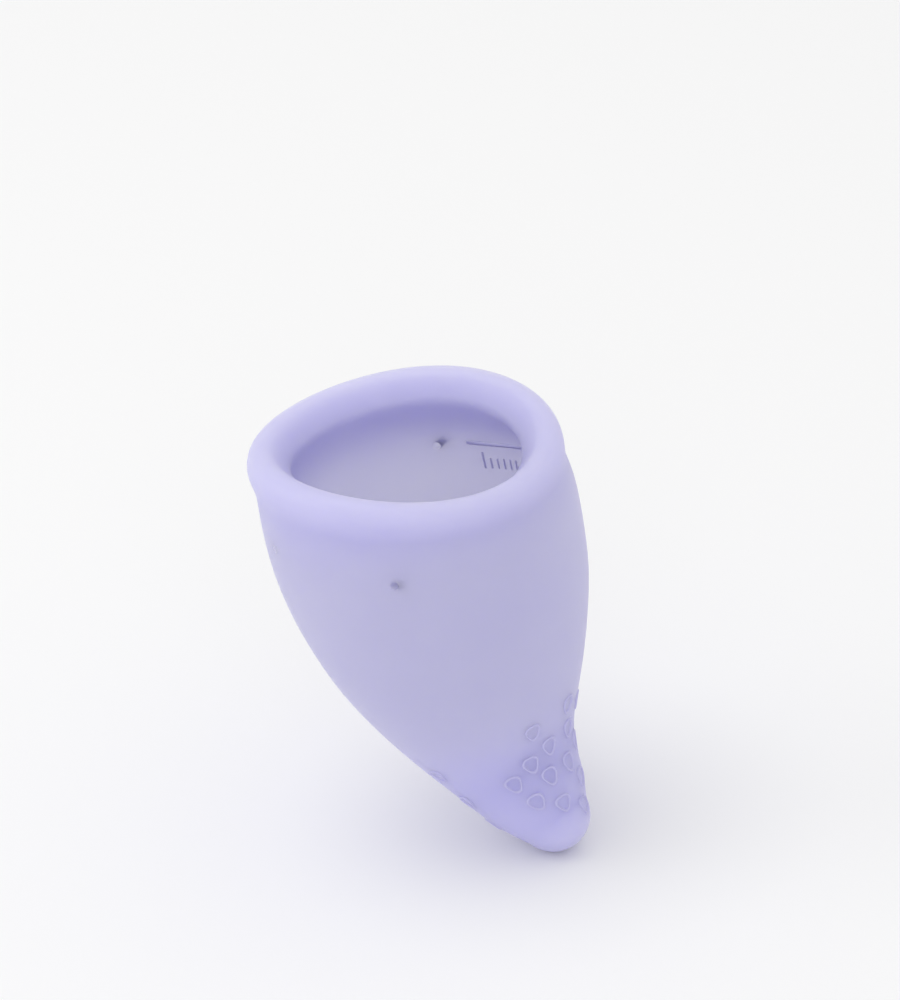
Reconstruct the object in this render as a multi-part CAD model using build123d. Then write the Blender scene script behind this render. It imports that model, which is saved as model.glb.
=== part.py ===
from build123d import *

import math
import os

# Soft silicone menstrual cup, 40 mm across the rim and about 55 mm long, in millimetres.
#
# The cup is one moulding. Its working regions are modelled as separate solids that meet face to face:
# the rolled rim, the hollow bowl with its air holes, the solid bent tip, the raised grip pads on the
# tip, and the raised fill line and tick marks on the inner wall.
#
# Frame: the origin is the centre of the rim, +Z points straight out of the mouth, and the tip bends
# towards +X. Both sides of the XZ plane are alike, apart from the grip pads on the spine, which are
# scattered unevenly, and the marks, which are only on the +Y wall.

# Rim: a rolled bead, thick outside and tapering down to a thin lip inside, on a gently saddle-shaped
# ring that is low at +X and -X and high at +Y and -Y. The lip's middle is inset and dropped from the
# middle of the bead.
RIM_DIAMETER = 40.0
BEAD_RADIUS = 2.0
LIP_RADIUS = 1.0
LIP_INSET = 2.3
LIP_DROP = 1.1
SADDLE = 0.8
RING_RADIUS = RIM_DIAMETER / 2 - BEAD_RADIUS
RING_POINTS = 24
RING_SPANS = 4

# Outer skin: round sections along the bent centre line, from the rim down to the tip.
# Each is centre X, centre Z, lean (the angle in degrees that the section rises towards +X), radius.
SECTIONS = [
    (0.0, 0.0, 0.0, 19.3),
    (1.1, -5.5, 7.3, 19.9),
    (2.3, -10.5, 13.6, 20.0),
    (3.8, -15.7, 16.7, 19.5),
    (5.5, -21.0, 17.6, 18.45),
    (7.1, -26.0, 19.2, 16.9),
    (9.1, -31.3, 21.5, 14.6),
    (11.5, -36.9, 25.7, 11.55),
    (14.9, -42.5, 34.2, 8.3),
    (19.35, -47.2, 42.7, 5.75),
]
# The skin starts this far above the rim's centre, inside the bead, and is trimmed to the saddle.
SKIN_TOP = 2.0

# Tip end: a ball, which the skin reaches this many degrees past the ball's widest ring.
TIP_X, TIP_Z, TIP_LEAN, TIP_RADIUS = 20.0, -47.75, 52.0, 4.8
TIP_CONTACT = 18.0

# Hollow: a collar that thickens the wall under the rim, then the skin's sections less the wall,
# closed by a shallow round floor.
WALL = 2.0
COLLAR = [
    (0.0, 0.0, 0.0, 14.6),
    (0.45, -2.2, 3.0, 15.5),
    (1.1, -5.5, 7.3, 17.2),
]
SKIN_SECTIONS_INSIDE = slice(2, 6)
SHOULDER = (9.1, -31.3, 21.5, 12.5)
FLOOR_RING = (10.6, -34.8, 24.0, 10.2)
FLOOR_CONTACT = 40.0

# The plane, square to the centre line, where the hollow bowl ends and the solid tip begins.
TIP_START = (13.4, -40.3, 31.0)

# Air holes: two each side, drilled straight along Y through the wall and dropping on the way in.
# Each is the X, Y and Z where it breaks the outer skin of one side.
HOLE_DIAMETER = 1.1
HOLE_DROP = 14.0
HOLE_MOUTHS = [(11.35, 17.6, -7.6), (-7.5, 17.8, -7.95)]

# Grip pads: rounded triangles, point down. The spine's are on the skin at these Y and Z. The belly's
# are in rows round it: centre X, centre Z, lean, and the angles of the pads to each side of the belly.
PAD_WIDTH = 2.3
PAD_LENGTH = 2.6
PAD_SHOULDER_RADIUS = 0.8
PAD_POINT_RADIUS = 0.5
PAD_HEIGHT = 0.2
SPINE_PADS = [
    (2.3, -31.7),
    (-4.3, -32.8),
    (6.3, -33.6),
    (-1.6, -36.0),
    (2.7, -35.6),
    (-4.5, -37.6),
    (4.7, -38.6),
    (1.2, -39.6),
    (-2.5, -39.9),
    (-6.5, -40.0),
    (6.8, -41.5),
    (2.9, -42.6),
    (-4.8, -42.8),
    (-1.9, -43.8),
    (1.7, -45.6),
]
BELLY_ROWS = [
    (12.35, -38.5, 28.0, (0.0, 37.0, 74.0)),
    (14.95, -42.6, 34.4, (22.0, 66.0)),
    (17.5, -45.6, 39.5, (0.0, 46.0)),
]

# Marks on the inner wall at +Y: a fill line, and below it upright ticks that stand on one foot line.
# A middle is an X and Z, and a lean is the angle in degrees that a line rises towards +X.
MARK_HEIGHT = 0.2
FILL_LINE_MIDDLE = (1.5, -6.7)
FILL_LINE_LEAN = 11.5
FILL_LINE_SIZE = (10.8, 0.55)
TICK_FOOT_MIDDLE = (1.1, -10.85)
TICK_LEAN = 10.0
TICK_WIDTH = 0.3
TICK_PITCH = 1.02
TICK_LENGTHS = [2.4, 1.5, 1.5, 1.5, 1.5, 1.5]


def section_plane(x, z, lean):
    """Plane square to the centre line; its X axis points to the spine, its normal to the mouth."""
    angle = math.radians(lean)
    spine = (math.cos(angle), 0, math.sin(angle))
    mouth = (-math.sin(angle), 0, math.cos(angle))
    return Plane(origin=(x, 0, z), x_dir=spine, z_dir=mouth)


def section(x, z, lean, radius):
    """Round section of the cup."""
    return section_plane(x, z, lean) * Circle(radius)


def ball_ring(x, z, lean, radius, contact):
    """The ring on a ball that lies contact degrees past its widest ring, towards the tip."""
    tip = math.radians(lean)
    past = math.radians(contact)
    along = radius * math.sin(past)
    return (x + along * math.sin(tip), z - along * math.cos(tip), lean, radius * math.cos(past))


def outer_form(grow=0.0):
    """The whole cup as a filled body, from above the rim to the tip, its skin moved out by grow."""
    top = (0.0, SKIN_TOP, 0.0, SECTIONS[0][3])
    end = ball_ring(TIP_X, TIP_Z, TIP_LEAN, TIP_RADIUS, TIP_CONTACT)
    rings = [top, *SECTIONS, end]
    body = loft([section(x, z, lean, radius + grow) for x, z, lean, radius in rings])
    return body + Pos(TIP_X, 0, TIP_Z) * Sphere(TIP_RADIUS + grow)


def hollow_form(shrink=0.0):
    """The space inside the bowl as a filled body, its skin moved in by shrink."""
    top = (0.0, SKIN_TOP, 0.0, COLLAR[0][3])
    walls = [(x, z, lean, radius - WALL) for x, z, lean, radius in SECTIONS[SKIN_SECTIONS_INSIDE]]
    rings = [top, *COLLAR, *walls, SHOULDER, FLOOR_RING]
    body = loft([section(x, z, lean, radius - shrink) for x, z, lean, radius in rings])

    ring_x, ring_z, lean, ring_radius = FLOOR_RING
    contact = math.radians(FLOOR_CONTACT)
    floor_radius = ring_radius / math.cos(contact)
    back = floor_radius * math.sin(contact)
    floor_x = ring_x - back * math.sin(math.radians(lean))
    floor_z = ring_z + back * math.cos(math.radians(lean))
    floor = Pos(floor_x, 0, floor_z) * Sphere(floor_radius - shrink)
    return body + floor


def ring_point(angle):
    """Point on the centre line of the rim's bead."""
    height = -SADDLE * math.cos(2 * angle)
    return Vector(RING_RADIUS * math.cos(angle), RING_RADIUS * math.sin(angle), height)


def bead_outline():
    """Cross-section of the rim, its thin inner lip towards -X of the sketch."""
    lip = Pos(-LIP_INSET, -LIP_DROP) * Circle(LIP_RADIUS)
    outlines = Curve() + [Circle(BEAD_RADIUS).edge(), lip.edge()]
    return make_hull(outlines.edges())


def rim_bead():
    """The rolled rim, swept round the saddle in equal spans, each kept upright by a guide above it."""
    turns = [2 * math.pi * step / RING_POINTS for step in range(RING_POINTS)]
    ring = Edge.make_spline([ring_point(turn) for turn in turns], periodic=True)
    spans = []
    for index in range(RING_SPANS):
        path = ring.trim(index / RING_SPANS, (index + 1) / RING_SPANS)
        guide = Pos(0, 0, RING_RADIUS) * path
        start, along = path @ 0, path % 0
        upright = Plane(origin=start, x_dir=(start.X, start.Y, 0), z_dir=(-along.X, -along.Y, 0))
        profile = upright * bead_outline()
        spans.append(sweep(profile, path=path, binormal=guide))
    return Part() + spans


def above_rim():
    """Everything above the rim's saddle surface, which inside the ring steps down to the lip's middle."""
    reach = 3 * RING_RADIUS
    rise = SADDLE * (reach / RING_RADIUS) ** 2
    front = Edge.make_line((reach, 0, -rise), (0, reach, rise))
    back = Edge.make_line((0, -reach, rise), (-reach, 0, -rise))
    saddle = Face.make_surface_from_curves(front, back)
    above = extrude(saddle, amount=reach, dir=(0, 0, 1))
    return above + (Pos(0, 0, -LIP_DROP) * above & Cylinder(RING_RADIUS, 2 * reach))


def air_hole(x, y, z, side):
    """Drill for one air hole; side is +1 or -1, the side of the cup that it is on."""
    drop = math.radians(HOLE_DROP)
    outward = Vector(0, side * math.cos(drop), math.sin(drop))
    return Plane(origin=(x, side * y, z), z_dir=outward) * Cylinder(HOLE_DIAMETER / 2, 4 * WALL)


def below_tip_start():
    """Everything past the plane where the solid tip begins."""
    size = 2 * RIM_DIAMETER
    return section_plane(*TIP_START) * Pos(0, 0, -size / 2) * Box(size, size, size)


def pad_outline():
    """Rounded triangle, its point towards -Y of the sketch."""
    apart = PAD_WIDTH / 2 - PAD_SHOULDER_RADIUS
    high = PAD_LENGTH / 2 - PAD_SHOULDER_RADIUS
    low = PAD_POINT_RADIUS - PAD_LENGTH / 2
    shoulders = [Pos(side * apart, high) * Circle(PAD_SHOULDER_RADIUS) for side in (-1, 1)]
    point = Pos(0, low) * Circle(PAD_POINT_RADIUS)
    corners = Curve() + [circle.edge() for circle in (*shoulders, point)]
    return make_hull(corners.edges())


def grip_pad(skin, raised_skin, start, outward):
    """One grip pad standing on the skin where a line from start, inside the cup, comes out."""
    line = Axis(start, outward)
    hits = [hit for face in skin.faces() for hit in face.find_intersection_points(line)]
    point, normal = max(hits, key=lambda hit: hit[0].dot(outward))
    sideways = Vector(0, 0, 1).cross(normal)
    seat = Plane(origin=point, x_dir=sideways, z_dir=normal)
    blank = extrude(seat * pad_outline(), amount=4 * PAD_HEIGHT, both=True)
    return (blank & raised_skin) - skin


def belly_lines():
    """For each belly pad, a point on the centre line and the direction from there to the pad."""
    for x, z, lean, angles in BELLY_ROWS:
        plane = section_plane(x, z, lean)
        turns = sorted({side * angle for angle in angles for side in (-1, 1)})
        for turn in turns:
            around = math.radians(turn)
            yield plane.origin, plane.y_dir * math.sin(around) - plane.x_dir * math.cos(around)


def mark_plane(middle, lean):
    """Upright plane across the cup, its X axis rising towards +X of the cup by lean degrees."""
    angle = math.radians(lean)
    rising = (math.cos(angle), 0, math.sin(angle))
    return Plane(origin=(middle[0], 0, middle[1]), x_dir=rising, z_dir=(0, -1, 0))


def mark(hollow, inset_hollow, plane, x, y, width, height):
    """A raised mark on the inner wall at +Y, whose middle is at x and y of the plane."""
    block = plane * Pos(x, y, -RIM_DIAMETER / 2) * Box(width, height, RIM_DIAMETER / 2)
    return (block & hollow) - inset_hollow


def build():
    """All nodes of the cup, by name."""
    skin = outer_form()
    raised_skin = outer_form(grow=PAD_HEIGHT)
    hollow = hollow_form()
    inset_hollow = hollow_form(shrink=MARK_HEIGHT)

    nodes = {"rim": rim_bead()}
    shell = skin - hollow - above_rim() - nodes["rim"]
    for x, y, z in HOLE_MOUTHS:
        for side in (-1, 1):
            shell -= air_hole(x, y, z, side)
    tip_side = below_tip_start()
    nodes["bowl"] = shell - tip_side
    nodes["grip_tip"] = shell & tip_side

    for index, (y, z) in enumerate(SPINE_PADS, start=1):
        nodes[f"spine_pad_{index:02d}"] = grip_pad(skin, raised_skin, (0, y, z), Vector(1, 0, 0))
    for index, (start, outward) in enumerate(belly_lines(), start=1):
        nodes[f"belly_pad_{index:02d}"] = grip_pad(skin, raised_skin, start, outward)

    line = mark_plane(FILL_LINE_MIDDLE, FILL_LINE_LEAN)
    nodes["fill_line"] = mark(hollow, inset_hollow, line, 0, 0, *FILL_LINE_SIZE)
    foot = mark_plane(TICK_FOOT_MIDDLE, TICK_LEAN)
    first = -TICK_PITCH * (len(TICK_LENGTHS) - 1) / 2
    for index, length in enumerate(TICK_LENGTHS):
        x = first + index * TICK_PITCH
        tick = mark(hollow, inset_hollow, foot, x, length / 2, TICK_WIDTH, length)
        nodes[f"tick_{index + 1}"] = tick
    return nodes


os.makedirs("parts", exist_ok=True)
for name, shape in build().items():
    export_step(shape, f"parts/{name}.step")
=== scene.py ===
import math

import bmesh
import bpy
import numpy as np
from mathutils import Matrix, Vector


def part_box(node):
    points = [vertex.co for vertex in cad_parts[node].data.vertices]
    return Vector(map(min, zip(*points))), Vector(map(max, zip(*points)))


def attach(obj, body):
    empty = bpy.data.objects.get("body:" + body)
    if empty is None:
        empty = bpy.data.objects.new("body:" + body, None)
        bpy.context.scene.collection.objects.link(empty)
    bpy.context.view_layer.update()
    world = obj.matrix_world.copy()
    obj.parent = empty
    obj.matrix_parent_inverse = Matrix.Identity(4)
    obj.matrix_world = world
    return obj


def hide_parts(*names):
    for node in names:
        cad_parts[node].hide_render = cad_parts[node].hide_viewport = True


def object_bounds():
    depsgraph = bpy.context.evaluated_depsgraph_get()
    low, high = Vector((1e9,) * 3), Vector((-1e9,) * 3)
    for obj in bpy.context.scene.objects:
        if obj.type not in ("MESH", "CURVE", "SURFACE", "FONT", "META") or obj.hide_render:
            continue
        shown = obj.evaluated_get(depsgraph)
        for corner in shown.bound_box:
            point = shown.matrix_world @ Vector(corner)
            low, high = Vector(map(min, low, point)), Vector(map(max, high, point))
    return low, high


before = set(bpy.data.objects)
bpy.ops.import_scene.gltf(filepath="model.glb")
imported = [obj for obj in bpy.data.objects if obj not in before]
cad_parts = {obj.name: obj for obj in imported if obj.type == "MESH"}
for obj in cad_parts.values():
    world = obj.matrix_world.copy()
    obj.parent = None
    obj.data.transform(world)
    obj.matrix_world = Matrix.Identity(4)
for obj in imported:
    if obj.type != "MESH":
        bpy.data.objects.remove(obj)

# A soft silicone menstrual cup. The moulding is one smooth skin: bowl, rolled rim and bent tip, with
# four air holes through the wall. The grip pads, fill line and ticks are raised pieces that follow it.
# Lengths in this script are millimetres, as in the CAD part, and MM turns them into metres.
MM = 0.001
CAD_LOW, CAD_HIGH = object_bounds()

# Rim: an egg-shaped bead on a saddle-shaped ring, thick outside and tapering down to a thin lip inside.
RIM_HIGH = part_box("rim")[1]
RIM_RADIUS = RIM_HIGH.x / MM
BEAD_RADIUS = 2.0
LIP_RADIUS = 1.0
LIP_INSET = 2.3
LIP_DROP = 1.1
RING_RADIUS = RIM_RADIUS - BEAD_RADIUS
SADDLE = RIM_HIGH.z / MM - BEAD_RADIUS

# Outer skin: centre X, centre Z, lean in degrees and radius of round sections down the bent centre line.
OUTER = [
    (0.0, 0.0, 0.0, 19.3),
    (1.1, -5.5, 7.3, 19.9),
    (2.3, -10.5, 13.6, 20.0),
    (3.8, -15.7, 16.7, 19.5),
    (5.5, -21.0, 17.6, 18.45),
    (7.1, -26.0, 19.2, 16.9),
    (9.1, -31.3, 21.5, 14.6),
    (11.5, -36.9, 25.7, 11.55),
    (14.9, -42.5, 34.2, 8.3),
    (19.35, -47.2, 42.7, 5.75),
]
TIP_BALL = (20.0, -47.75, 52.0, 4.8)
TIP_CONTACT = 18.0

# Hollow: a collar that thickens the wall under the rim, then the skin's sections less the wall, closed
# by a shallow round floor.
WALL = 2.0
HOLLOW = [(0.0, 0.0, 0.0, 14.6), (0.45, -2.2, 3.0, 15.5), (1.1, -5.5, 7.3, 17.2)]
HOLLOW += [(x, z, lean, radius - WALL) for x, z, lean, radius in OUTER[2:6]]
HOLLOW += [(9.1, -31.3, 21.5, 12.5)]
FLOOR_RING = (10.6, -34.8, 24.0, 10.2)
FLOOR_CONTACT = 40.0

# Mesh density: columns round the cup and rows down it. The columns are a multiple of four, so that a
# square grid can close each end.
COLUMNS = 256
OUTER_ROWS = 116
HOLLOW_ROWS = 78
BEAD_ROWS = 30
BLEND_ROWS = 8

# How far the blend between bead and wall reaches, down the wall and round the bead, and how strongly each
# end of the blend holds its direction, as a share of the blend's length.
OUTER_BLEND = 2.4
INNER_BLEND = 1.4
BLEND_PULL = 0.38

# The first rows of a wall follow the bead. They have become evenly spaced by this share of the wall.
SETTLED = 1 / 8

# Air holes: two each side, straight along Y and dropping on the way in, with rounded lips. Each is the
# X, Y and Z where it breaks the outer skin of one side, and its length through the wall. HOLE_REACH is in
# cells of the mesh, and the collars are rings on the skin at these distances outside the lip.
HOLE_RADIUS = 0.52
HOLE_LIP = 0.18
HOLE_DROP = 14.0
HOLE_MOUTHS = [(11.35, 17.6, -7.6, 2.28), (-7.5, 17.8, -7.95, 2.66)]
HOLE_REACH = 3
HOLE_COLLARS = (0.32, 0.14, 0.0)
HOLE_LIP_ROWS = 5

# Grip pads: rounded triangles with a raised edge round a middle that dips to the skin. Each step across
# the raised edge is a share of the outline and a height.
PAD_SIZE = (2.3, 2.6)
PAD_POINTS = 48
PAD_CORNERS = 0.10
PAD_EDGE = [(1.04, -0.06), (1.0, 0.02), (0.96, 0.11), (0.91, 0.16), (0.85, 0.16), (0.79, 0.10),
            (0.74, 0.03), (0.70, -0.06)]

# Marks on the inner wall at +Y: a fill line, and below it upright ticks that stand on one foot line. A
# middle is an X and Z, and a lean is the angle in degrees that a line rises towards +X. Each step of the
# profile is a share of the rounded edge's width and a height.
MARK_EDGE = 0.13
MARK_POINTS = 48
MARK_PROFILE = [(-0.1, -0.05), (0.0, 0.0), (0.35, 0.06), (0.7, 0.11), (1.0, 0.13)]
FILL_LINE_MIDDLE = (1.5, -6.7)
FILL_LINE_LEAN = 11.5
FILL_LINE_SIZE = (10.8, 0.55)
TICK_FOOT_MIDDLE = (1.1, -10.85)
TICK_LEAN = 10.0
TICK_WIDTH = 0.3
TICK_PITCH = 1.02
TICK_LENGTHS = [2.4, 1.5, 1.5, 1.5, 1.5, 1.5]

# Silicone colour, and a slightly deeper one that mottles it. The raised pieces are too thin to scatter
# light inside themselves, so they have paler colours that match what lies round them. This paleness is
# painted light, standing in for the light that the silicone scatters and lets through its thin wall; the
# marks inside the cup are paler still.
LAVENDER = (0.495, 0.48, 0.785)
LAVENDER_DEEP = (0.48, 0.465, 0.775)
PAD_LAVENDER_PAINTED_LIGHT = (0.53, 0.51, 0.80)
PAD_DEEP_PAINTED_LIGHT = (0.515, 0.495, 0.79)
MARK_LAVENDER_PAINTED_LIGHT = (0.74, 0.715, 0.98)
MARK_DEEP_PAINTED_LIGHT = (0.725, 0.70, 0.97)
SCATTER_WEIGHT = 1.0
SCATTER_DEPTH = 0.013

# Camera: a long lens with a slight roll, its angles in degrees and its distance from the rim's centre.
AZIMUTH, ELEVATION, ROLL = 40.25, 28.25, -4.57
CAMERA_DISTANCE = 600.0
LENS, SENSOR = 171.03, 36.0
SHIFT_X, SHIFT_Y = 0.045, -0.0495

# Stage, in metres: half the floor's width, and the gap that keeps the floor clear of the tip.
FLOOR_REACH = 4.0
FLOOR_GAP = 0.0002
FLOOR_PAINT = (0.95, 0.95, 0.95, 1)

# Soft studio lights: name, place in metres, width of the disc and power. All point at LIGHTS_AIM.
LIGHTS_AIM = (0, 0, -0.02)
LIGHTS = [
    ("top", (-0.25, -0.12, 0.96), 0.6, 1.6),
    ("left", (-0.70, -0.55, 0.45), 0.6, 0.8),
    ("front", (0.57, -0.67, 0.47), 0.6, 0.9),
]
SKY = 0.80


def tip_direction(lean):
    """Unit vector down the centre line, in X and Z, for a section of this lean."""
    return np.array([math.sin(math.radians(lean)), -math.cos(math.radians(lean))])


def ball_ring(ball, contact):
    """Section of a ball, contact degrees past its widest ring."""
    x, z, lean, radius = ball
    along = radius * math.sin(math.radians(contact)) * tip_direction(lean)
    return (x + along[0], z + along[1], lean, radius * math.cos(math.radians(contact)))


def ball_behind(ring, contact):
    """The ball that a ring lies on, contact degrees past the ball's widest ring."""
    x, z, lean, ring_radius = ring
    radius = ring_radius / math.cos(math.radians(contact))
    back = radius * math.sin(math.radians(contact)) * tip_direction(lean)
    return (x - back[0], z - back[1], lean, radius)


def cubic(knots, values, end_slope=None):
    """Natural cubic spline through values at knots, with an optional slope at its end."""
    knots, values = np.asarray(knots, float), np.asarray(values, float)
    count = len(knots)
    gaps = np.diff(knots)
    steps = np.diff(values) / gaps
    system, right = np.zeros((count, count)), np.zeros(count)
    system[0, 0] = 1
    for i in range(1, count - 1):
        system[i, i - 1 : i + 2] = gaps[i - 1], 2 * (gaps[i - 1] + gaps[i]), gaps[i]
        right[i] = 6 * (steps[i] - steps[i - 1])
    if end_slope is None:
        system[-1, -1] = 1
    else:
        system[-1, -2:] = gaps[-1], 2 * gaps[-1]
        right[-1] = 6 * (end_slope - steps[-1])
    bend = np.linalg.solve(system, right)

    def at(where):
        i = np.clip(np.searchsorted(knots, where, side="right") - 1, 0, count - 2)
        before, after, gap = where - knots[i], knots[i + 1] - where, gaps[i]
        curve = bend[i] * after**3 / (6 * gap) + bend[i + 1] * before**3 / (6 * gap)
        low = values[i] / gap - bend[i] * gap / 6
        high = values[i + 1] / gap - bend[i + 1] * gap / 6
        return curve + low * after + high * before

    return at


class Horn:
    """A bent tapering skin of round sections, closed at its end by part of a ball."""

    def __init__(self, sections, ring, ball, contact):
        rows = np.array([*sections, ring], float)
        runs = np.hypot(np.diff(rows[:, 0]), np.diff(rows[:, 1]))
        self.knots = np.concatenate([[0], np.cumsum(runs)])
        self.length = self.knots[-1]
        self.ball, self.contact = ball, math.radians(contact)
        end = tip_direction(ring[2])
        self.x = cubic(self.knots, rows[:, 0], end[0])
        self.z = cubic(self.knots, rows[:, 1], end[1])
        self.lean = cubic(self.knots, np.radians(rows[:, 2]))
        self.radius = cubic(self.knots, rows[:, 3], -math.tan(self.contact))

    def at(self, down, angle):
        """Points on the skin: down is the distance along the centre line, angle turns from the spine."""
        down, angle = np.broadcast_arrays(np.asarray(down, float), np.asarray(angle, float))
        on_skin = np.minimum(down, self.length)
        x, z, lean, radius = self.x(on_skin), self.z(on_skin), self.lean(on_skin), self.radius(on_skin)
        past = np.maximum(down - self.length, 0) / self.ball[3] + self.contact
        over = down > self.length
        tip = tip_direction(self.ball[2])
        x = np.where(over, self.ball[0] + tip[0] * self.ball[3] * np.sin(past), x)
        z = np.where(over, self.ball[1] + tip[1] * self.ball[3] * np.sin(past), z)
        lean = np.where(over, math.radians(self.ball[2]), lean)
        radius = np.where(over, self.ball[3] * np.cos(past), radius)
        across = radius * np.cos(angle)
        return np.stack([x + np.cos(lean) * across, radius * np.sin(angle), z + np.sin(lean) * across], -1)

    def frame_at(self, down, angle):
        """A point with its unit directions: round the skin, down it and out of it, and both stretches."""
        small = 0.01
        turn = (self.at(down, angle + small) - self.at(down, angle - small)) / (2 * small)
        drop = (self.at(down + small, angle) - self.at(down - small, angle)) / (2 * small)
        stretch = np.linalg.norm(turn), np.linalg.norm(drop)
        turn, drop = turn / stretch[0], drop / stretch[1]
        out = np.cross(drop, turn)
        return self.at(down, angle), turn, drop, out / np.linalg.norm(out), stretch

    def find(self, target):
        """The place on the skin nearest to a point: its distance down the centre line, and its angle."""
        down, angle = self.length / 2, 0.0
        down_reach, angle_reach = self.length / 2 + self.ball[3], math.pi
        for _ in range(5):
            downs = np.linspace(down - down_reach, down + down_reach, 121).clip(0)[:, None]
            angles = np.linspace(angle - angle_reach, angle + angle_reach, 121)[None, :]
            gap = np.linalg.norm(self.at(downs, angles) - np.asarray(target), axis=-1)
            i, j = np.unravel_index(gap.argmin(), gap.shape)
            down, angle = downs[i, 0], angles[0, j]
            down_reach, angle_reach = down_reach / 20, angle_reach / 20
        return down, angle

    def beside(self, x, z, down, angle):
        """The places on the skin near one place that have these X and Z."""
        downs, angles = np.full(np.shape(x), float(down)), np.full(np.shape(x), float(angle))
        small = 0.001
        for _ in range(6):
            here = self.at(downs, angles)
            by_down = (self.at(downs + small, angles) - here) / small
            by_angle = (self.at(downs, angles + small) - here) / small
            off_x, off_z = x - here[..., 0], z - here[..., 2]
            scale = by_down[..., 0] * by_angle[..., 2] - by_down[..., 2] * by_angle[..., 0]
            downs = downs + (off_x * by_angle[..., 2] - off_z * by_angle[..., 0]) / scale
            angles = angles + (off_z * by_down[..., 0] - off_x * by_down[..., 2]) / scale
        return downs, angles


TIP_RING = ball_ring(TIP_BALL, TIP_CONTACT)
SKIN = Horn(OUTER, TIP_RING, TIP_BALL, TIP_CONTACT)
CAVITY = Horn(HOLLOW, FLOOR_RING, ball_behind(FLOOR_RING, FLOOR_CONTACT), FLOOR_CONTACT)


# The bead's outline is alike on both sides of the line through the middles of its thick end and its lip,
# which is LIP_SPAN long and rises outwards by LIP_TILT. It is measured by length round it from the end of
# that line, upwards and inwards: the thick arc, a straight to the lip, and the lip's arc. The straight's
# normal is at STRAIGHT_TURN.
LIP_SPAN = math.hypot(LIP_INSET, LIP_DROP)
LIP_TILT = math.atan2(LIP_DROP, LIP_INSET)
STRAIGHT_TURN = math.acos((LIP_RADIUS - BEAD_RADIUS) / LIP_SPAN)
STRAIGHT = LIP_SPAN * math.sin(STRAIGHT_TURN)
STRAIGHT_START = BEAD_RADIUS * STRAIGHT_TURN
LIP_START = STRAIGHT_START + STRAIGHT
LIP_MIDDLE = LIP_START + LIP_RADIUS * (math.pi - STRAIGHT_TURN)


def bead_outline(length):
    """Point of the bead's outline, outwards and up from the ring."""
    length = np.asarray(length, float)
    lower = np.where((length < 0) | (length > LIP_MIDDLE), -1, 1)
    length = np.where(length > LIP_MIDDLE, 2 * LIP_MIDDLE - length, np.abs(length))
    thick = np.minimum(length, STRAIGHT_START) / BEAD_RADIUS
    thin = STRAIGHT_TURN + np.maximum(length - LIP_START, 0) / LIP_RADIUS
    share = ((length - STRAIGHT_START) / STRAIGHT).clip(0, 1)
    along = (1 - share) * BEAD_RADIUS * np.cos(thick) + share * (LIP_RADIUS * np.cos(thin) - LIP_SPAN)
    above = lower * ((1 - share) * BEAD_RADIUS * np.sin(thick) + share * LIP_RADIUS * np.sin(thin))
    out = along * math.cos(LIP_TILT) - above * math.sin(LIP_TILT)
    up = along * math.sin(LIP_TILT) + above * math.cos(LIP_TILT)
    return out, up


def bead_gap(out, up):
    """How far points, outwards and up from the ring, are outside the bead. Inside it is below zero."""
    along = out * math.cos(LIP_TILT) + up * math.sin(LIP_TILT)
    above = np.abs(up * math.cos(LIP_TILT) - out * math.sin(LIP_TILT))
    normal_along, normal_above = math.cos(STRAIGHT_TURN), math.sin(STRAIGHT_TURN)
    share = normal_along * above - normal_above * along
    thick = np.hypot(along, above) - BEAD_RADIUS
    thin = np.hypot(along + LIP_SPAN, above) - LIP_RADIUS
    straight = normal_along * along + normal_above * above - BEAD_RADIUS
    return np.where(share < 0, thick, np.where(share > STRAIGHT, thin, straight))


def bead_point(angle, length):
    """Point on the bead, at an angle round the rim and a length round the bead's outline."""
    out, up = bead_outline(length)
    reach, height = RING_RADIUS + out, up - SADDLE * np.cos(2 * angle)
    return np.stack([reach * np.cos(angle), reach * np.sin(angle), height], -1)


def bead_crossing(skin, angle, side):
    """Where one column of a skin comes out of the bead: the distance down it, and the bead's length."""
    downs = np.linspace(0, 6, 601)
    points = skin.at(downs, angle)
    out = points[:, 0] * math.cos(angle) + points[:, 1] * math.sin(angle) - RING_RADIUS
    up = points[:, 2] + SADDLE * math.cos(2 * angle)
    gap = bead_gap(out, up)
    last = np.nonzero(gap < 0)[0][-1]
    share = gap[last] / (gap[last] - gap[last + 1])
    down = downs[last] + share * (downs[1] - downs[0])
    cross_out = out[last] + share * (out[last + 1] - out[last])
    cross_up = up[last] + share * (up[last + 1] - up[last])
    start = -LIP_MIDDLE if side > 0 else LIP_MIDDLE
    lengths = np.linspace(start, start + LIP_MIDDLE, 4001)
    line_out, line_up = bead_outline(lengths)
    return down, lengths[np.argmin(np.hypot(line_out - cross_out, line_up - cross_up))]


def bezier(start, start_pull, end_pull, end, count):
    """count points inside a Bezier curve."""
    t = (np.arange(count) + 1)[:, None] / (count + 1)
    a, b, c, d = (1 - t) ** 3, 3 * t * (1 - t) ** 2, 3 * t**2 * (1 - t), t**3
    return a * start + b * start_pull + c * end_pull + d * end


def blend_from_bead(skin, angle, side, reach):
    """Where one column leaves the bead for the wall: the bead's length, the curve and the wall's start."""
    crossing, length = bead_crossing(skin, angle, side)
    wall_start, length = crossing + reach, length + side * reach
    on_bead, on_wall = bead_point(angle, length), skin.at(wall_start, angle)
    small = 0.01
    along_bead = (on_bead - bead_point(angle, length + side * small)) / small
    along_wall = (skin.at(wall_start + small, angle) - on_wall) / small
    pull = BLEND_PULL * np.linalg.norm(on_wall - on_bead)
    curve = bezier(on_bead, on_bead + pull * along_bead, on_wall - pull * along_wall, on_wall, BLEND_ROWS)
    return length, curve, wall_start


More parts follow.
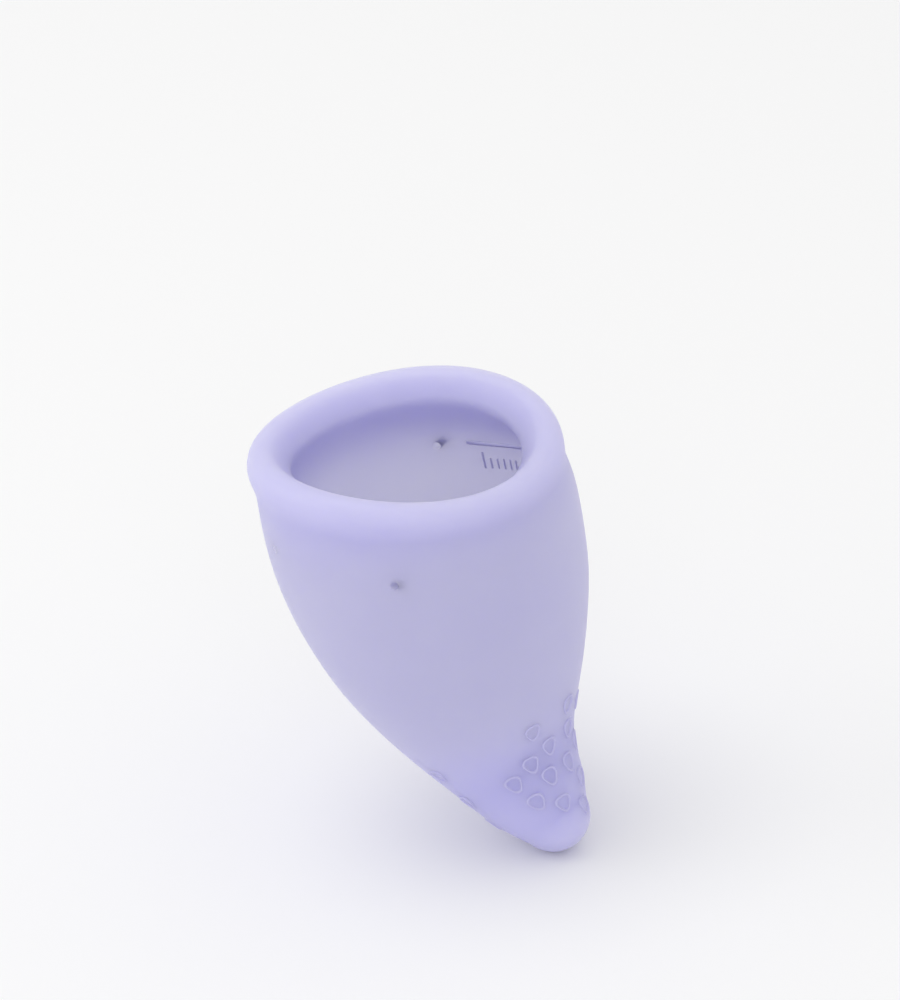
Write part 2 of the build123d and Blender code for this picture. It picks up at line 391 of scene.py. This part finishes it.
def disc_grid(size):
    """A square grid bent into a unit disc, with its boundary evenly spaced round the circle."""
    line = np.linspace(-1, 1, size + 1)
    u, v = np.meshgrid(line, line, indexing="ij")
    ring = np.maximum(np.abs(u), np.abs(v))
    with np.errstate(divide="ignore", invalid="ignore"):
        share = np.where(np.abs(u) >= np.abs(v), v / np.where(u == 0, 1, u), u / np.where(v == 0, 1, v))
    quarter = np.pi / 4 * share
    flat = np.abs(u) >= np.abs(v)
    x = np.where(flat, np.sign(u) * ring * np.cos(quarter), np.sign(v) * ring * np.sin(quarter))
    y = np.where(flat, np.sign(u) * ring * np.sin(quarter), np.sign(v) * ring * np.cos(quarter))
    return np.hypot(x, y), np.arctan2(y, x)


class Builder:
    """Collects points and faces for one mesh."""

    def __init__(self):
        self.points, self.faces = [], []

    def add(self, points):
        """Adds an array of points and returns their numbers in the same arrangement."""
        points = np.asarray(points, float)
        flat = points.reshape(-1, 3)
        start = len(self.points)
        self.points.extend(flat)
        return start + np.arange(len(flat)).reshape(points.shape[:-1])

    def quad(self, a, b, c, d):
        """Adds one face with four corners."""
        self.faces.append((int(a), int(b), int(c), int(d)))

    def loft(self, rows, closed=True, skip=()):
        """Quads between rows of point numbers. skip holds the (row, column) cells to leave open."""
        count = len(rows[0])
        for i in range(len(rows) - 1):
            for j in range(count if closed else count - 1):
                if (i, j) not in skip:
                    k = (j + 1) % count
                    self.quad(rows[i][j], rows[i][k], rows[i + 1][k], rows[i + 1][j])

    def cap(self, ring, place):
        """Closes a ring with a square grid. place turns a grid's radius and angle into points."""
        size = len(ring) // 4
        radius, angle = disc_grid(size)
        grid = np.full((size + 1, size + 1), -1)
        inner = self.add(place(radius[1:-1, 1:-1], angle[1:-1, 1:-1]))
        grid[1:-1, 1:-1] = inner
        columns = np.round(angle / (2 * math.pi) * len(ring)).astype(int) % len(ring)
        for i in range(size + 1):
            for j in range(size + 1):
                if grid[i, j] < 0:
                    grid[i, j] = ring[columns[i, j]]
        for i in range(size):
            for j in range(size):
                self.quad(grid[i, j], grid[i + 1, j], grid[i + 1, j + 1], grid[i, j + 1])

    def mesh(self, name):
        """The finished mesh, in metres, without the points that no face uses."""
        mesh = bpy.data.meshes.new(name)
        mesh.from_pydata([tuple(p * MM) for p in self.points], [], self.faces)
        shaped = bmesh.new()
        shaped.from_mesh(mesh)
        loose = [v for v in shaped.verts if not v.link_faces]
        bmesh.ops.delete(shaped, geom=loose, context="VERTS")
        bmesh.ops.recalc_face_normals(shaped, faces=shaped.faces)
        shaped.to_mesh(mesh)
        shaped.free()
        mesh.shade_smooth()
        return mesh


def add_piece(name, mesh, material, *nodes):
    """A finished piece that rides on the cup's body and stands for these CAD nodes."""
    piece = bpy.data.objects.new(name, mesh)
    bpy.context.scene.collection.objects.link(piece)
    piece.data.materials.append(material)
    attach(piece, "root")
    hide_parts(*nodes)
    return piece


def hole_block(downs, angles, down, angle):
    """The block of grid cells that an air hole opens, and the points of its boundary in order."""
    i = int(np.argmin(np.abs(downs - down))) - HOLE_REACH
    j = int(round(angle / (2 * math.pi) * len(angles))) - HOLE_REACH
    side = 2 * HOLE_REACH
    walk = [(0, k) for k in range(side)] + [(k, side) for k in range(side)]
    walk += [(side, side - k) for k in range(side)] + [(side - k, 0) for k in range(side)]
    cells = {((i + a), (j + b) % len(angles)) for a in range(side) for b in range(side)}
    return cells, [(i + a, (j + b) % len(angles)) for a, b in walk]


def hole_rings(build, skin, down, angle, boundary, inward):
    """Rings from a block's boundary over the rounded lip into the wall. Returns the last ring."""
    centre, turn, drop, _, stretch = skin.frame_at(down, angle)
    offsets = np.array([build.points[n] for n in boundary]) - centre
    flat = np.stack([offsets @ turn, offsets @ drop], -1)
    bearing = flat / np.linalg.norm(flat, axis=1, keepdims=True)
    rings = [boundary]
    outer = HOLE_RADIUS + HOLE_LIP
    for collar in HOLE_COLLARS:
        radius = outer + collar
        around = angle + radius * bearing[:, 0] / stretch[0]
        along = down + radius * bearing[:, 1] / stretch[1]
        rings.append(build.add(skin.at(along, around)))
    for step in range(1, HOLE_LIP_ROWS + 1):
        over = math.pi / 2 * step / HOLE_LIP_ROWS
        radius = HOLE_RADIUS + HOLE_LIP * (1 - math.sin(over))
        depth = HOLE_LIP * (1 - math.cos(over))
        around = angle + radius * bearing[:, 0] / stretch[0]
        along = down + radius * bearing[:, 1] / stretch[1]
        rings.append(build.add(skin.at(along, around) + depth * inward))
    build.loft(rings)
    return rings[-1]


def wall_rows(starts, length, count):
    """Distances down a wall: the even rows, and the rows of every column, which start under the bead."""
    share = np.linspace(0, 1, count)[:, None]
    even = np.linspace(np.mean(starts), length, count)[:, None]
    settle = np.clip(1 - share / SETTLED, 0, 1) ** 2
    return even[:, 0], even + settle * (np.array(starts)[None, :] - np.mean(starts))


def moulding_mesh():
    """The whole moulding as one closed skin of quads."""
    build = Builder()
    angles = np.arange(COLUMNS) * 2 * math.pi / COLUMNS

    outer_starts, inner_starts, bead_columns = [], [], []
    for angle in angles:
        out_length, out_curve, out_start = blend_from_bead(SKIN, angle, 1, OUTER_BLEND)
        in_length, in_curve, in_start = blend_from_bead(CAVITY, angle, -1, INNER_BLEND)
        bead = bead_point(angle, np.linspace(out_length, in_length, BEAD_ROWS))
        bead_columns.append(np.concatenate([out_curve[::-1], bead, in_curve]))
        outer_starts.append(out_start)
        inner_starts.append(in_start)
    rim_rows = build.add(np.array(bead_columns).swapaxes(0, 1))

    even_out, downs = wall_rows(outer_starts, SKIN.length, OUTER_ROWS)
    outer_rows = build.add(SKIN.at(downs, angles[None, :]))
    even_in, downs = wall_rows(inner_starts, CAVITY.length, HOLLOW_ROWS)
    inner_rows = build.add(CAVITY.at(downs, angles[None, :]))

    outer_skip, inner_skip = set(), set()
    drop = math.radians(HOLE_DROP)
    for (x, y, z, length), side in [(hole, side) for hole in HOLE_MOUTHS for side in (-1, 1)]:
        inward = np.array([0, -side * math.cos(drop), -math.sin(drop)])
        mouth = np.array([x, side * y, z])
        out_down, out_angle = SKIN.find(mouth)
        in_down, in_angle = CAVITY.find(mouth + length * inward)
        out_cells, out_walk = hole_block(even_out, angles, out_down, out_angle % (2 * math.pi))
        in_cells, in_walk = hole_block(even_in, angles, in_down, in_angle % (2 * math.pi))
        outer_skip |= out_cells
        inner_skip |= in_cells
        out_ring = np.array([outer_rows[i, j] for i, j in out_walk])
        in_ring = np.array([inner_rows[i, j] for i, j in in_walk])
        last_out = hole_rings(build, SKIN, out_down, out_angle, out_ring, inward)
        last_in = hole_rings(build, CAVITY, in_down, in_angle, in_ring, -inward)
        start = np.array([build.points[n] for n in last_out])
        end = np.array([build.points[n] for n in last_in])
        middles = [build.add(start + (end - start) * t) for t in (1 / 3, 2 / 3)]
        build.loft([last_out, *middles, last_in])

    build.loft([*outer_rows[::-1], *rim_rows, *inner_rows], skip=skip_cells(outer_skip, inner_skip))

    def on_ball(skin):
        x, z, lean, radius = skin.ball
        quarter = math.pi / 2 - skin.contact

        def place(share, angle):
            return skin.at(skin.length + radius * quarter * (1 - share), angle)

        return place

    build.cap(outer_rows[-1], on_ball(SKIN))
    build.cap(inner_rows[-1], on_ball(CAVITY))
    return build.mesh("moulding")


def skip_cells(outer, inner):
    """Cells of the whole run of rows, outer wall upwards, rim, hollow downwards, that air holes open."""
    rim_rows = BEAD_ROWS + 2 * BLEND_ROWS
    up = {(OUTER_ROWS - 2 - i, j) for i, j in outer}
    down = {(OUTER_ROWS + rim_rows + i, j) for i, j in inner}
    return up | down


def rounded_triangle(width, length, count):
    """Outline of a grip pad, point downwards, as count points round its middle."""
    turn = np.arange(count) * 2 * math.pi / count
    radius = 1 - PAD_CORNERS * np.cos(3 * (turn - math.pi / 2))
    x, y = radius * np.cos(turn), radius * np.sin(turn)
    return np.stack([x / np.ptp(x) * width, y / np.ptp(y) * length], -1)


def rounded_bar(width, height, corner, count):
    """Outline of a bar with rounded corners, as count points round its middle."""
    turn = np.arange(count) * 2 * math.pi / count
    x = corner * np.cos(turn) + np.sign(np.cos(turn)) * (width / 2 - corner)
    y = corner * np.sin(turn) + np.sign(np.sin(turn)) * (height / 2 - corner)
    return np.stack([x, y], -1)


def relief_mesh(name, skin, rings, side, open_middle):
    """A raised piece on a skin. Each ring is its places on the skin and its height; side 1 is outwards."""
    build = Builder()
    rows = []
    small = 0.02
    for downs, angles, height in rings:
        turn = skin.at(downs, angles + small) - skin.at(downs, angles - small)
        drop = skin.at(downs + small, angles) - skin.at(downs - small, angles)
        normal = np.cross(drop, turn)
        normal *= side / np.linalg.norm(normal, axis=1, keepdims=True)
        rows.append(build.add(skin.at(downs, angles) + height * normal))
    if open_middle:
        build.loft([*rows, rows[0]])
        return build.mesh(name)
    build.loft(rows)
    last = rows[-1]
    middle = build.add(np.mean([build.points[n] for n in last], axis=0)[None])[0]
    for k in range(0, len(last), 2):
        build.quad(last[k], last[(k + 1) % len(last)], last[(k + 2) % len(last)], middle)
    return build.mesh(name)


def pad_mesh(name):
    """One grip pad, at the place of its CAD node."""
    down, angle = SKIN.find(node_middle(name))
    _, _, _, _, stretch = SKIN.frame_at(down, angle)
    outline = rounded_triangle(*PAD_SIZE, PAD_POINTS)
    around, along = outline[:, 0] / stretch[0], outline[:, 1] / stretch[1]
    rings = [(down - share * along, angle + share * around, height) for share, height in PAD_EDGE]
    return relief_mesh(name, SKIN, rings, 1, True)


def mark_mesh(name, middle, lean, along, above, width, height):
    """One mark: a bar whose middle lies along and above the middle of its leaning line."""
    turn = math.radians(lean)
    start = CAVITY.find(node_middle(name))
    rings = []
    for inset, rise in MARK_PROFILE:
        edge = inset * MARK_EDGE
        corner = MARK_EDGE * (1.05 - inset)
        outline = rounded_bar(width - 2 * edge, height - 2 * edge, corner, MARK_POINTS)
        u, v = along + outline[:, 0], above + outline[:, 1]
        x = middle[0] + u * math.cos(turn) - v * math.sin(turn)
        z = middle[1] + u * math.sin(turn) + v * math.cos(turn)
        rings.append((*CAVITY.beside(x, z, *start), rise))
    return relief_mesh(name, CAVITY, rings, -1, False)


def silicone(name, light, deep, scatter):
    """Satin lavender silicone, with faint mottling and a fine moulded texture."""
    material = bpy.data.materials.new(name)
    material.use_nodes = True
    nodes, links = material.node_tree.nodes, material.node_tree.links
    shader = nodes["Principled BSDF"]
    shader.inputs["Roughness"].default_value = 0.45
    shader.inputs["IOR"].default_value = 1.41
    shader.inputs["Subsurface Weight"].default_value = scatter
    shader.inputs["Subsurface Radius"].default_value = (1.0, 1.0, 0.9)
    shader.inputs["Subsurface Scale"].default_value = SCATTER_DEPTH
    place = nodes.new("ShaderNodeTexCoord")
    mottle = nodes.new("ShaderNodeTexNoise")
    mottle.inputs["Scale"].default_value = 90
    mottle.inputs["Detail"].default_value = 3
    tint = nodes.new("ShaderNodeValToRGB")
    tint.color_ramp.elements[0].position = 0.3
    tint.color_ramp.elements[1].position = 0.7
    tint.color_ramp.elements[0].color = (*deep, 1)
    tint.color_ramp.elements[1].color = (*light, 1)
    grain = nodes.new("ShaderNodeTexNoise")
    grain.inputs["Scale"].default_value = 2600
    grain.inputs["Detail"].default_value = 2
    bump = nodes.new("ShaderNodeBump")
    bump.inputs["Strength"].default_value = 0.06
    bump.inputs["Distance"].default_value = 0.00003
    links.new(place.outputs["Object"], mottle.inputs["Vector"])
    links.new(place.outputs["Object"], grain.inputs["Vector"])
    links.new(mottle.outputs["Fac"], tint.inputs["Fac"])
    links.new(tint.outputs["Color"], shader.inputs["Base Color"])
    links.new(grain.outputs["Fac"], bump.inputs["Height"])
    links.new(bump.outputs["Normal"], shader.inputs["Normal"])
    return material


def make_camera():
    """The camera, which faces the rim's centre."""
    azimuth, elevation, roll = math.radians(AZIMUTH), math.radians(ELEVATION), math.radians(ROLL)
    back = Vector((
        math.sin(azimuth) * math.cos(elevation),
        -math.cos(azimuth) * math.cos(elevation),
        math.sin(elevation),
    ))
    data = bpy.data.cameras.new("camera")
    camera = bpy.data.objects.new("camera", data)
    bpy.context.scene.collection.objects.link(camera)
    turn = (-back).to_track_quat("-Z", "Y").to_matrix().to_4x4()
    place = Matrix.Translation(back * CAMERA_DISTANCE * MM)
    camera.matrix_world = place @ turn @ Matrix.Rotation(roll, 4, "Z")
    data.sensor_width = SENSOR
    data.lens = LENS
    data.shift_x = SHIFT_X
    data.shift_y = SHIFT_Y
    data.clip_start = 0.01
    data.clip_end = 20
    bpy.context.scene.camera = camera


def make_stage():
    """A plain pale floor under a white sky, and soft white light from above, the left and the front."""
    floor = bpy.data.meshes.new("floor")
    low = CAD_LOW.z - FLOOR_GAP
    corners = [(x * FLOOR_REACH, y * FLOOR_REACH, low) for x, y in [(-1, -1), (1, -1), (1, 1), (-1, 1)]]
    floor.from_pydata(corners, [], [(0, 1, 2, 3)])
    plane = bpy.data.objects.new("floor", floor)
    bpy.context.scene.collection.objects.link(plane)
    paint = bpy.data.materials.new("floor")
    paint.use_nodes = True
    shader = paint.node_tree.nodes["Principled BSDF"]
    shader.inputs["Base Color"].default_value = FLOOR_PAINT
    shader.inputs["Roughness"].default_value = 0.9
    floor.materials.append(paint)

    world = bpy.data.worlds.new("world")
    bpy.context.scene.world = world
    world.use_nodes = True
    background = world.node_tree.nodes["Background"]
    background.inputs["Color"].default_value = (1, 1, 1, 1)
    background.inputs["Strength"].default_value = SKY
    for light in LIGHTS:
        add_light(*light)


def add_light(name, place, size, power):
    """One disc of white light."""
    data = bpy.data.lights.new(name, "AREA")
    data.shape = "DISK"
    data.size = size
    data.energy = power
    light = bpy.data.objects.new(name, data)
    light.location = place
    light.rotation_mode = "QUATERNION"
    light.rotation_quaternion = (Vector(LIGHTS_AIM) - Vector(place)).to_track_quat("-Z", "Y")
    bpy.context.scene.collection.objects.link(light)


def node_middle(name):
    """Middle of a CAD node's box, in millimetres."""
    low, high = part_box(name)
    return np.array((low + high) / 2) / MM


def build_cup():
    """The moulding, and the raised pads and marks that stand on it."""
    soft = silicone("silicone", LAVENDER, LAVENDER_DEEP, SCATTER_WEIGHT)
    # The pads' paler colour is painted light, for the light that scattering silicone would give them.
    pad_silicone_painted_light = silicone("silicone_pads_painted_light", PAD_LAVENDER_PAINTED_LIGHT, PAD_DEEP_PAINTED_LIGHT, 0.0)
    # The marks' far paler colour is painted light, for the light that comes through the cup's thin wall.
    mark_silicone_painted_light = silicone("silicone_marks_painted_light", MARK_LAVENDER_PAINTED_LIGHT, MARK_DEEP_PAINTED_LIGHT, 0.0)
    add_piece("moulding", moulding_mesh(), soft, "rim", "bowl", "grip_tip")
    for name in sorted(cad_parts):
        if "_pad_" in name:
            add_piece(f"{name}_relief", pad_mesh(name), pad_silicone_painted_light, name)
    line = mark_mesh("fill_line", FILL_LINE_MIDDLE, FILL_LINE_LEAN, 0, 0, *FILL_LINE_SIZE)
    add_piece("fill_line_relief", line, mark_silicone_painted_light, "fill_line")
    first = -TICK_PITCH * (len(TICK_LENGTHS) - 1) / 2
    for index, length in enumerate(TICK_LENGTHS):
        name = f"tick_{index + 1}"
        along = first + index * TICK_PITCH
        mesh = mark_mesh(name, TICK_FOOT_MIDDLE, TICK_LEAN, along, length / 2, TICK_WIDTH, length)
        add_piece(f"{name}_relief", mesh, mark_silicone_painted_light, name)


make_camera()
make_stage()
build_cup()
bpy.context.scene.view_settings.view_transform = "Standard"
